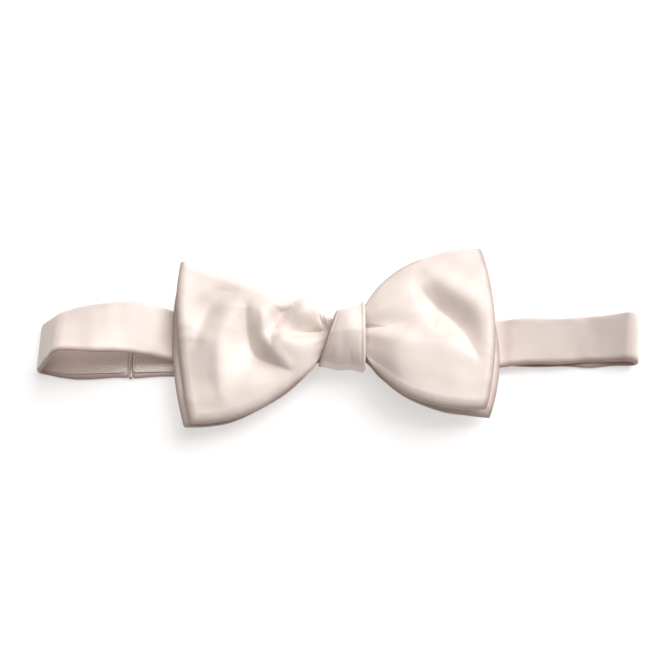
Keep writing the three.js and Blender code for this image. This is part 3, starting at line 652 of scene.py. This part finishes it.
def knot_skin(angle, along, inset):
    """A point of the knot's skin at an angle round the waist and a place along it from the left mouth to the
    right one, sunk by an inset: a superellipse in Y and Z, squarer at the rear than at the front, whose left
    mouth slants with the height Y and by KNOT_LEAN of that with Z."""
    swell = np.sin(math.pi * along)
    middle = KNOT_MIDDLE_FRONT_Z - (KNOT_LEFT_FRONT_Z + KNOT_RIGHT_FRONT_Z) / 2
    front_z = KNOT_LEFT_FRONT_Z + (KNOT_RIGHT_FRONT_Z - KNOT_LEFT_FRONT_Z) * along + middle * swell
    low_y = KNOT_LEFT_LOW_Y + (KNOT_RIGHT_LOW_Y - KNOT_LEFT_LOW_Y) * along
    top_y = KNOT_LEFT_TOP_Y + (KNOT_RIGHT_TOP_Y - KNOT_LEFT_TOP_Y) * along
    cosine = np.cos(angle)
    sine = np.sin(angle)
    low_power, top_power, rear_power = (
        2 / squareness for squareness in (KNOT_LOW_SQUARENESS, KNOT_TOP_SQUARENESS, KNOT_REAR_SQUARENESS)
    )
    front_power = low_power + (top_power - low_power) * soft_step(sine, -KNOT_TOP_FADE, KNOT_TOP_FADE)
    front_share = soft_step(cosine, -KNOT_FRONT_FADE, KNOT_FRONT_FADE)
    power = rear_power + (front_power - rear_power) * front_share
    half_y = (top_y - low_y) / 2 - inset
    half_z = (front_z - KNOT_REAR_Z) / 2 - inset
    y = (top_y + low_y) / 2 + half_y * signed_power(sine, power)
    z = (front_z + KNOT_REAR_Z) / 2 + half_z * signed_power(cosine, power)
    height = (y + KNOT_LEAN * (z - KNOT_LEFT_FRONT_Z) - KNOT_LEFT_LOW_Y) / (KNOT_LEFT_TOP_Y - KNOT_LEFT_LOW_Y)
    left_x = KNOT_LEFT_LOW_X + (KNOT_LEFT_TOP_X - KNOT_LEFT_LOW_X) * height
    return left_x, y, z


def knot_rings(wall):
    """Rings of the knot: round the waist, each a closed line over the outer skin, round the right rim, back
    over the inner skin and round the left rim. The rims are half circles of the wall's thickness. Folds,
    ripples and a ridge and groove along each mouth, as exp(-(distance / width)**2), lift the outer skin, away
    from the same skin 1 mm further in."""
    roll = wall / 2
    angle = 2 * math.pi * np.arange(KNOT_AROUND)[:, None] / KNOT_AROUND
    skin = np.linspace(0.0, 1.0, KNOT_SKIN_STEPS)
    turn = np.linspace(0.0, math.pi, KNOT_RIM_STEPS + 2)[1:-1]
    along = np.concatenate([skin, np.ones_like(turn), skin[::-1], np.zeros_like(turn)])[None]
    inset = np.concatenate([
        np.zeros_like(skin), roll * (1 - np.cos(turn)), np.full_like(skin, wall), roll * (1 + np.cos(turn)),
    ])[None]
    beyond = np.concatenate([
        np.zeros_like(skin), roll * np.sin(turn), np.zeros_like(skin), -roll * np.sin(turn),
    ])[None]
    left_x, y, z = knot_skin(angle, along, inset)
    left_x = left_x + roll
    right_x = KNOT_RIGHT_X - roll
    x = left_x + (right_x - left_x) * along + beyond
    points = np.stack([x, y, z], axis=2)
    outer = np.stack(knot_skin(angle, along, 0 * inset)[1:], axis=2)
    inner = np.stack(knot_skin(angle, along, 0 * inset + 1.0)[1:], axis=2)
    out = outer - inner
    out = out / np.maximum(np.linalg.norm(out, axis=2, keepdims=True), TINY)
    mouth = np.minimum(x - left_x, right_x - x) + roll
    from_left = x - left_x + roll
    ridge, groove = (
        KNOT_RIM_HEIGHT * np.exp(-(((mouth - at) / KNOT_RIM_WIDTH) ** 2))
        for at in (KNOT_RIDGE_AT, KNOT_GROOVE_AT)
    )
    ripple = KNOT_RIPPLE_SHARE * cloth_ripple(x, KNOT_RIPPLE_STRETCH * y)
    relief = fold_relief(KNOT_FOLDS, x, y) + (ridge - groove) + ripple
    outside = 1 - soft_step(inset, roll * KNOT_RELIEF_DEPTH, wall)
    points[:, :, 1:] += out * (relief * outside)[:, :, None]
    return points, from_left


def left_turn_stations(count):
    """Stations of the left turn from the lower run to the upper one: the heading turns evenly over each part
    of LEFT_WALK, and every small step goes on by its cosine and sine. Y changes with the length walked, and
    the lean with the height."""
    lengths = np.cumsum([0.0] + [row[1] for row in LEFT_WALK])
    headings = 180 - np.cumsum([0.0] + [row[2] for row in LEFT_WALK])
    walked = np.linspace(0.0, lengths[-1], count)
    heading = np.radians(np.interp((walked[1:] + walked[:-1]) / 2, lengths, headings))
    low = np.array(LOWER_RUN[-1], float)
    high = np.array(UPPER_RUN[0], float)
    x = low[0] + np.append(0.0, np.cumsum(np.cos(heading) * walked[1]))
    z = low[2] + np.append(0.0, np.cumsum(np.sin(heading) * walked[1]))
    stations = low + (high - low) * ((z - low[2]) / (z[-1] - low[2]))[:, None]
    stations[:, 0] = x
    stations[:, 1] = low[1] + (high[1] - low[1]) * walked / walked[-1]
    stations[:, 2] = z
    return stations


def right_turn_stations(count):
    """Stations on half an ellipse from the upper run (angle 0) down to the lower run (pi): the way out goes
    with sin, the height and the lean with 1 - cos."""
    angle = np.linspace(0.0, math.pi, count)
    share = (1 - np.cos(angle)) / 2
    high = dict(zip(BAND_COLUMNS, UPPER_RUN[-1]))
    low = dict(zip(BAND_COLUMNS, LOWER_RUN[0]))
    station = {name: high[name] + (low[name] - high[name]) * share for name in BAND_COLUMNS}
    station["x"] = high["x"] + RIGHT_TURN_REACH * np.sin(angle)
    return np.stack([station[name] for name in BAND_COLUMNS], axis=1)


def lower_stations(start, end, count):
    """Stations on the lower run between two x places, straight from one row of its table to the next."""
    x = np.linspace(start, end, count)
    rows = np.array(LOWER_RUN[::-1], float)
    return np.stack([x] + [np.interp(x, rows[:, 0], column) for column in rows.T[1:]], axis=1)


def band_stations():
    """All stations of the neck band, from the left side of the clasp round the loop to its right side."""
    upper = smooth_rows(UPPER_RUN, BAND_COLUMNS, np.linspace(0.0, 1.0, UPPER_STATIONS))
    upper = np.concatenate([upper[name] for name in BAND_COLUMNS], axis=1)
    return np.concatenate([
        lower_stations(CLASP_X - BAND_END_GAP, LOWER_RUN[-1][0], LOWER_LEFT_STATIONS)[:-1],
        left_turn_stations(LEFT_TURN_STATIONS)[:-1],
        upper[:-1],
        right_turn_stations(RIGHT_TURN_STATIONS)[:-1],
        lower_stations(LOWER_RUN[0][0], CLASP_X + BAND_END_GAP, LOWER_STATIONS),
    ])


def band_rings(cloth):
    """Rings of the neck band: a flat superellipse section, as wide as the station says, set across the path
    and leaning with it. Its faces ripple along the band and its long edges wander slightly, as bent waves."""
    stations = band_stations()
    x, y, z, width, lean = (stations[:, k:k + 1] for k in range(len(BAND_COLUMNS)))
    tangent = np.gradient(stations[:, [0, 2]], axis=0)
    tangent = tangent / np.linalg.norm(tangent, axis=1, keepdims=True)
    normal_x = -tangent[:, 1:2]
    normal_z = tangent[:, 0:1]
    steps = np.linalg.norm(np.diff(stations[:, :3], axis=0), axis=1)
    walked = np.append(0.0, np.cumsum(steps))[:, None]
    turn = middle_angles(BAND_AROUND)
    across = signed_power(np.cos(turn), 2 / BAND_SQUARENESS)
    out = signed_power(np.sin(turn), 2 / BAND_FACE_SQUARENESS)
    half_width = np.sqrt(width**2 - lean**2) / 2
    wander = BAND_WANDER * bent_wave(walked, *BAND_WANDER_WAVE) * np.abs(across) ** BAND_WANDER_POWER
    ripple = sum(
        height * bent_wave(walked, *wave, shift=slant * across * half_width)
        for height, slant, *wave in BAND_RIPPLES
    )
    ripple = ripple * (1 - np.abs(across) ** BAND_RIPPLE_POWER)
    end = np.minimum(walked, walked[-1] - walked)
    closed = rolled_half(1.0, end + BAND_END_FLAT, BAND_END_ROLL)
    lift = out * cloth / 2 * closed + ripple
    ring_y = y + across * (half_width - BAND_END_NARROWING * (1 - closed)) + wander
    ring_x = x + normal_x * lift + 0 * across
    ring_z = np.maximum(z - across * lean / 2 + normal_z * lift, 0.0)
    points = np.stack([ring_x, ring_y, ring_z], axis=2)
    # Distance from the low long edge, where the colour gets painted shade
    edge = (1 + across) * half_width + 0 * walked
    return points, walked[:, 0], across[0] * BAND_WIDTH / 2, edge


def seam_rings(start, end, widens_from, widens_to, width):
    """Rings of one length of turned seam: a low dome that keeps to the band's low edge, drawn in at both
    ends, with fine cords, a cosine across it, that wander along it as crinkled satin does."""
    x = np.linspace(start, end, SEAM_STATIONS_PER_MM * int(end - start) + 1)[:, None]
    rows = np.array(LOWER_RUN[::-1], float)
    share = SEAM_TIP_SHARE + (1 - SEAM_TIP_SHARE) * soft_step(x, widens_from, widens_to)
    middle = np.interp(x, rows[:, 0], rows[:, 1]) - BAND_WIDTH / 2 + SEAM_EDGE_INSET + width / 2 * share
    drawn = rolled_half(1.0, x - start + END_FLAT, SEAM_START_ROLL)
    drawn = drawn * rolled_half(1.0, end + END_FLAT - x, SEAM_END_ROLL)
    half = width / 2 * share * drawn
    turn = middle_angles(SEAM_AROUND)
    across = np.cos(turn)
    up = signed_power(np.sin(turn), SEAM_DOME_POWER)
    wander = across + sum(part * np.sin(rate * x + phase) for part, rate, phase in CORD_WANDERS)
    cords = CORD_HEIGHT * np.cos(math.pi * CORDS * wander)
    cords = cords + CRINKLE_HEIGHT * np.sin(CRINKLE_RATE * x + CRINKLE_SLANT * across)
    lift = (SEAM_HEIGHT / 2 * up + cords * np.maximum(up, 0.0)) * drawn
    y = middle + across * half
    z = SEAM_BOTTOM_Z + SEAM_HEIGHT / 2 + lift
    points = np.stack([x + 0 * across, y, z], axis=2)
    return points, (x - start)[:, 0], across[0] * width / 2


def clasp_rings():
    """Rings of the clasp bar along Y: a superellipse section that draws in to round ends."""
    from_middle = CLASP_LENGTH / 2 * np.sin(np.linspace(-math.pi / 2, math.pi / 2, CLASP_ALONG))[:, None]
    from_end = CLASP_LENGTH / 2 - np.abs(from_middle)
    drawn = rolled_half(1.0, from_end + END_FLAT * CLASP_END_ROLL, CLASP_END_ROLL)
    turn = middle_angles(CLASP_AROUND)
    x = CLASP_HALF_WIDTH * drawn * signed_power(np.cos(turn), 2 / CLASP_SQUARENESS)
    z = CLASP_HALF_DEPTH * drawn * signed_power(np.sin(turn), 2 / CLASP_SQUARENESS)
    return np.stack([CLASP_X + x, CLASP_Y + from_middle + 0 * x, CLASP_Z + z], axis=2)


def node(tree, kind, inputs=(), settings=()):
    """Adds one shader node: its settings by name, and its inputs by name or number, each a value or a socket
    of another node that is linked to it."""
    new = tree.nodes.new(kind)
    for name, value in dict(settings).items():
        setattr(new, name, value)
    for key, value in dict(inputs).items():
        if isinstance(value, bpy.types.NodeSocket):
            tree.links.new(value, new.inputs[key])
        else:
            new.inputs[key].default_value = value
    return new


def new_tree(name):
    """A material of that name and its node tree, emptied."""
    material = bpy.data.materials.new(name)
    material.use_nodes = True
    material.node_tree.nodes.clear()
    return material, material.node_tree


def woven_satin(name, colour, shade, roughness, bump_mm):
    """Polyester satin, woven with long floats on its face and pressed: a soft broad gloss, a faint grain
    along the threads, and painted shade: the colour darkens towards the shade colour near the edges."""
    material, tree = new_tree(name)
    place = node(tree, "ShaderNodeTexCoord")
    # Threads lie about 0.12 mm apart, too fine to show, so the grain is drawn as floats 0.6 by 5 mm
    floats_place = node(tree, "ShaderNodeMapping", {"Vector": place.outputs["UV"], "Scale": (0.2, 1.6, 1.0)})
    floats = node(tree, "ShaderNodeTexNoise", {
        "Vector": floats_place.outputs["Vector"], "Scale": 1.0, "Detail": 3.0, "Roughness": 0.6,
    })
    # Dye and pressing vary over about 10 mm
    cloud = node(tree, "ShaderNodeTexNoise", {
        "Vector": place.outputs["Object"], "Scale": 95.0, "Detail": 3.0, "Roughness": 0.55,
    })
    cloud_share = node(tree, "ShaderNodeMapRange", {
        "Value": cloud.outputs["Fac"], "From Min": 0.35, "From Max": 0.75, "To Min": 0.0, "To Max": 0.16,
    })
    body = node(tree, "ShaderNodeMix", {
        "Factor": cloud_share.outputs["Result"], 6: linear_colour(colour), 7: linear_colour(shade),
    }, {"data_type": "RGBA"})
    # Painted shade: near an edge that the attribute marks, the colour goes over to the shade colour
    edge = node(tree, "ShaderNodeAttribute", settings={"attribute_name": "painted_shade_edge_mm"})
    turned = node(tree, "ShaderNodeMapRange", {
        "Value": edge.outputs["Fac"], "From Min": 0.0, "From Max": PAINTED_SHADE_REACH, "To Min": 1.0, "To Max": 0.0,
    }, {"interpolation_type": "SMOOTHSTEP"})
    tinted = node(tree, "ShaderNodeMix", {
        "Factor": turned.outputs["Result"], 6: body.outputs[2], 7: linear_colour(shade),
    }, {"data_type": "RGBA"})
    gloss = node(tree, "ShaderNodeMapRange", {
        "Value": floats.outputs["Fac"], "From Min": 0.3, "From Max": 0.7,
        "To Min": roughness - 0.04, "To Max": roughness + 0.05,
    })
    bump = node(tree, "ShaderNodeBump", {
        "Height": floats.outputs["Fac"], "Strength": 0.35, "Distance": bump_mm * MM,
    })
    surface = node(tree, "ShaderNodeBsdfPrincipled", {
        "Base Color": tinted.outputs[2], "Roughness": gloss.outputs["Result"], "IOR": 1.5,
        "Normal": bump.outputs["Normal"],
        "Sheen Weight": 0.12, "Sheen Roughness": 0.45, "Sheen Tint": linear_colour("#fff4ec"),
    })
    node(tree, "ShaderNodeOutputMaterial", {"Surface": surface.outputs["BSDF"]})
    return material


def worn_clasp_metal(name, colour):
    """Nickel-plated steel gone dull: a warm grey metal with fine scratches that break up its gloss."""
    material, tree = new_tree(name)
    place = node(tree, "ShaderNodeTexCoord")
    scratches = node(tree, "ShaderNodeTexNoise", {
        "Vector": place.outputs["Object"], "Scale": 900.0, "Detail": 2.0,
    })
    gloss = node(tree, "ShaderNodeMapRange", {
        "Value": scratches.outputs["Fac"], "To Min": 0.3, "To Max": 0.5,
    })
    surface = node(tree, "ShaderNodeBsdfPrincipled", {
        "Base Color": linear_colour(colour), "Metallic": 1.0, "Roughness": gloss.outputs["Result"],
    })
    node(tree, "ShaderNodeOutputMaterial", {"Surface": surface.outputs["BSDF"]})
    return material


def paper_floor(name, colour):
    """Matt white translucent sweep lit softly from below, with a barely visible tooth: pale shadows."""
    material, tree = new_tree(name)
    place = node(tree, "ShaderNodeTexCoord")
    tooth = node(tree, "ShaderNodeTexNoise", {"Vector": place.outputs["Object"], "Scale": 700.0})
    bump = node(tree, "ShaderNodeBump", {
        "Height": tooth.outputs["Fac"], "Strength": 0.05, "Distance": 0.1 * MM,
    })
    surface = node(tree, "ShaderNodeBsdfPrincipled", {
        "Base Color": linear_colour(colour), "Roughness": 0.9, "Normal": bump.outputs["Normal"],
        "Emission Color": linear_colour("#ffffff"), "Emission Strength": FLOOR_GLOW,
    })
    node(tree, "ShaderNodeOutputMaterial", {"Surface": surface.outputs["BSDF"]})
    return material


def finish_called(name, make, **facts):
    """The material of that name, made the first time that a piece asks for it."""
    return bpy.data.materials.get(name) or make(name, **facts)


def satin_finish(context):
    """The pressed satin that the bow, the knot and the band share."""
    colours = context.scene.bow_colours
    return finish_called(
        "polyester_satin_pressed", woven_satin,
        colour=colours.satin, shade=colours.satin_dye_and_painted_shade, roughness=0.42, bump_mm=0.05,
    )


class BOWTIE_OT_front_layer(bpy.types.Operator):
    """Make the front layer of the bow, gathered at the waist, with the folds of both wings"""

    bl_idname = "bowtie.front_layer"
    bl_label = "Front Layer"

    def execute(self, context):
        sizes = context.scene.bow_sizes
        make_layer(
            "front_bow", FRONT_SECTIONS, FRONT_FOLDS, FRONT_CREASES, sizes.front_cloth / MM, FRONT_STEPS,
            satin_finish(context), sizes,
        )
        return {"FINISHED"}


class BOWTIE_OT_rear_layer(bpy.types.Operator):
    """Make the layer behind, which shows as a rim past the front one"""

    bl_idname = "bowtie.rear_layer"
    bl_label = "Rear Layer"

    def execute(self, context):
        sizes = context.scene.bow_sizes
        make_layer(
            "rear_bow", REAR_SECTIONS, REAR_FOLDS, [], sizes.rear_cloth / MM, REAR_STEPS,
            satin_finish(context), sizes,
        )
        return {"FINISHED"}


class BOWTIE_OT_knot(bpy.types.Operator):
    """Make the folded strip that is wrapped round the waists of both layers and the band"""

    bl_idname = "bowtie.knot"
    bl_label = "Knot"

    def execute(self, context):
        rings, from_left = knot_rings(context.scene.bow_sizes.knot_wall / MM)
        round_mm = np.linspace(0.0, KNOT_ROUND_LENGTH, KNOT_AROUND + 1)
        line_mm = np.linspace(0.0, KNOT_SECTION_LENGTH, rings.shape[1] + 1)
        points, faces, uv = ring_mesh(rings, round_mm, line_mm, True)
        # Painted shade: the knot's colour darkens near its left mouth
        marks = {"painted_shade_edge_mm": from_left.ravel()}
        knot = make_piece("knot_wrap", points, faces, uv, marks, satin_finish(context), ["knot"])
        return {"FINISHED"}


class BOWTIE_OT_neck_band(bpy.types.Operator):
    """Make the neck band, laid as a flattened loop whose ends meet at the clasp"""

    bl_idname = "bowtie.neck_band"
    bl_label = "Neck Band"

    def execute(self, context):
        rings, walked, across, edge = band_rings(context.scene.bow_sizes.band_cloth / MM)
        points, faces, uv = ring_mesh(rings, walked, np.append(across, across[0]), False)
        # Painted shade: the band's colour darkens along its low long edge
        marks = {"painted_shade_edge_mm": edge.ravel()}
        finish = satin_finish(context)
        band = make_piece("neck_band_satin", points, faces, uv, marks, finish, ["neck_band"])
        return {"FINISHED"}


class BOWTIE_OT_seam_strips(bpy.types.Operator):
    """Make the two lengths of turned, crinkled seam on the inner face of the band"""

    bl_idname = "bowtie.seam_strips"
    bl_label = "Seam Strips"

    def execute(self, context):
        colours = context.scene.bow_colours
        # The seam's lighter colour is painted light on the same satin
        finish = finish_called(
            "satin_turned_seam", woven_satin,
            colour=colours.seam_satin, shade=colours.satin_dye_and_painted_shade, roughness=0.32, bump_mm=0.08,
        )
        for row in SEAMS:
            facts = dict(zip(SEAM_COLUMNS, row))
            name = facts.pop("name")
            rings, along, across = seam_rings(**facts)
            points, faces, uv = ring_mesh(rings, along, np.append(across, across[0]), False)
            # Every point of a seam lies past the reach of the painted shade
            marks = {"painted_shade_edge_mm": np.full(len(points), PAST_TINT)}
            make_piece(name + "_satin", points, faces, uv, marks, finish, [name])
        return {"FINISHED"}


class BOWTIE_OT_clasp(bpy.types.Operator):
    """Make the plain bar where the two ends of the band meet"""

    bl_idname = "bowtie.clasp"
    bl_label = "Clasp"

    def execute(self, context):
        colours = context.scene.bow_colours
        finish = finish_called("nickel_plated_steel_dull", worn_clasp_metal, colour=colours.clasp_metal)
        rings = clasp_rings()
        along = np.linspace(0.0, CLASP_LENGTH, len(rings))
        around = np.linspace(0.0, CLASP_GIRTH, CLASP_AROUND + 1)
        points, faces, uv = ring_mesh(rings, along, around, False)
        make_piece("clasp_bar", points, faces, uv, {}, finish, ["clasp"])
        return {"FINISHED"}


class BOWTIE_OT_stage(bpy.types.Operator):
    """Set the plain floor, the soft studio light and the camera above the bow tie"""

    bl_idname = "bowtie.stage"
    bl_label = "Stage"

    def execute(self, context):
        scene = context.scene
        mesh = bpy.data.meshes.new("studio_floor")
        corners = [(x * FLOOR_REACH, y * FLOOR_REACH, 0) for x, y in ((-1, -1), (1, -1), (1, 1), (-1, 1))]
        mesh.from_pydata(corners, [], [(0, 1, 2, 3)])
        mesh.materials.append(finish_called("matt_white_paper", paper_floor, colour=scene.bow_colours.floor))
        floor = bpy.data.objects.new("studio_floor", mesh)
        scene.collection.objects.link(floor)
        for row in STUDIO_LIGHTS:
            facts = dict(zip(LIGHT_COLUMNS, row))
            light = bpy.data.lights.new(facts["name"], "AREA")
            light.shape = "DISK"
            light.size = facts["diameter"]
            light.energy = facts["power"]
            light.color = linear_colour(facts["colour"])[:3]
            lamp = bpy.data.objects.new(facts["name"], light)
            lamp.location = facts["place"]
            lamp.rotation_euler = (Vector(LIGHT_TARGET) - lamp.location).to_track_quat("-Z", "Y").to_euler()
            scene.collection.objects.link(lamp)
        world = bpy.data.worlds.new("studio_air")
        world.use_nodes = True
        background = world.node_tree.nodes["Background"]
        background.inputs["Color"].default_value = linear_colour(WORLD_COLOUR)
        background.inputs["Strength"].default_value = WORLD_STRENGTH
        scene.world = world
        scene.view_settings.view_transform = "Standard"
        camera = bpy.data.cameras.new("studio_camera")
        camera.sensor_width = CAMERA_SENSOR
        camera.lens = CAMERA_LENS
        eye = bpy.data.objects.new("studio_camera", camera)
        eye.location = CAMERA_PLACE
        eye.rotation_euler = Euler((math.radians(CAMERA_TILT), 0.0, 0.0))
        scene.collection.objects.link(eye)
        scene.camera = eye
        return {"FINISHED"}


class BOWTIE_PT_panel(bpy.types.Panel):
    """Sizes, colours and the buttons that make each piece"""

    bl_idname = "BOWTIE_PT_panel"
    bl_label = "Bow Tie"
    bl_space_type = "VIEW_3D"
    bl_region_type = "UI"
    bl_category = "Bow Tie"

    def draw(self, context):
        for group in (context.scene.bow_sizes, context.scene.bow_colours):
            for name in group.__annotations__:
                self.layout.prop(group, name)
        for maker in MAKERS:
            self.layout.operator(maker.bl_idname)


MAKERS = (
    BOWTIE_OT_front_layer,
    BOWTIE_OT_rear_layer,
    BOWTIE_OT_knot,
    BOWTIE_OT_seam_strips,
    BOWTIE_OT_neck_band,
    BOWTIE_OT_clasp,
    BOWTIE_OT_stage,
)
CLASSES = (BowSizes, BowColours, *MAKERS, BOWTIE_PT_panel)


def register():
    for item in CLASSES:
        bpy.utils.register_class(item)
    bpy.types.Scene.bow_sizes = PointerProperty(type=BowSizes)
    bpy.types.Scene.bow_colours = PointerProperty(type=BowColours)


def unregister():
    del bpy.types.Scene.bow_sizes
    del bpy.types.Scene.bow_colours
    for item in reversed(CLASSES):
        bpy.utils.unregister_class(item)


def main():
    register()
    for maker in MAKERS:
        call = maker.bl_idname.split(".")[1]
        getattr(bpy.ops.bowtie, call)()


if __name__ == "__main__":
    main()
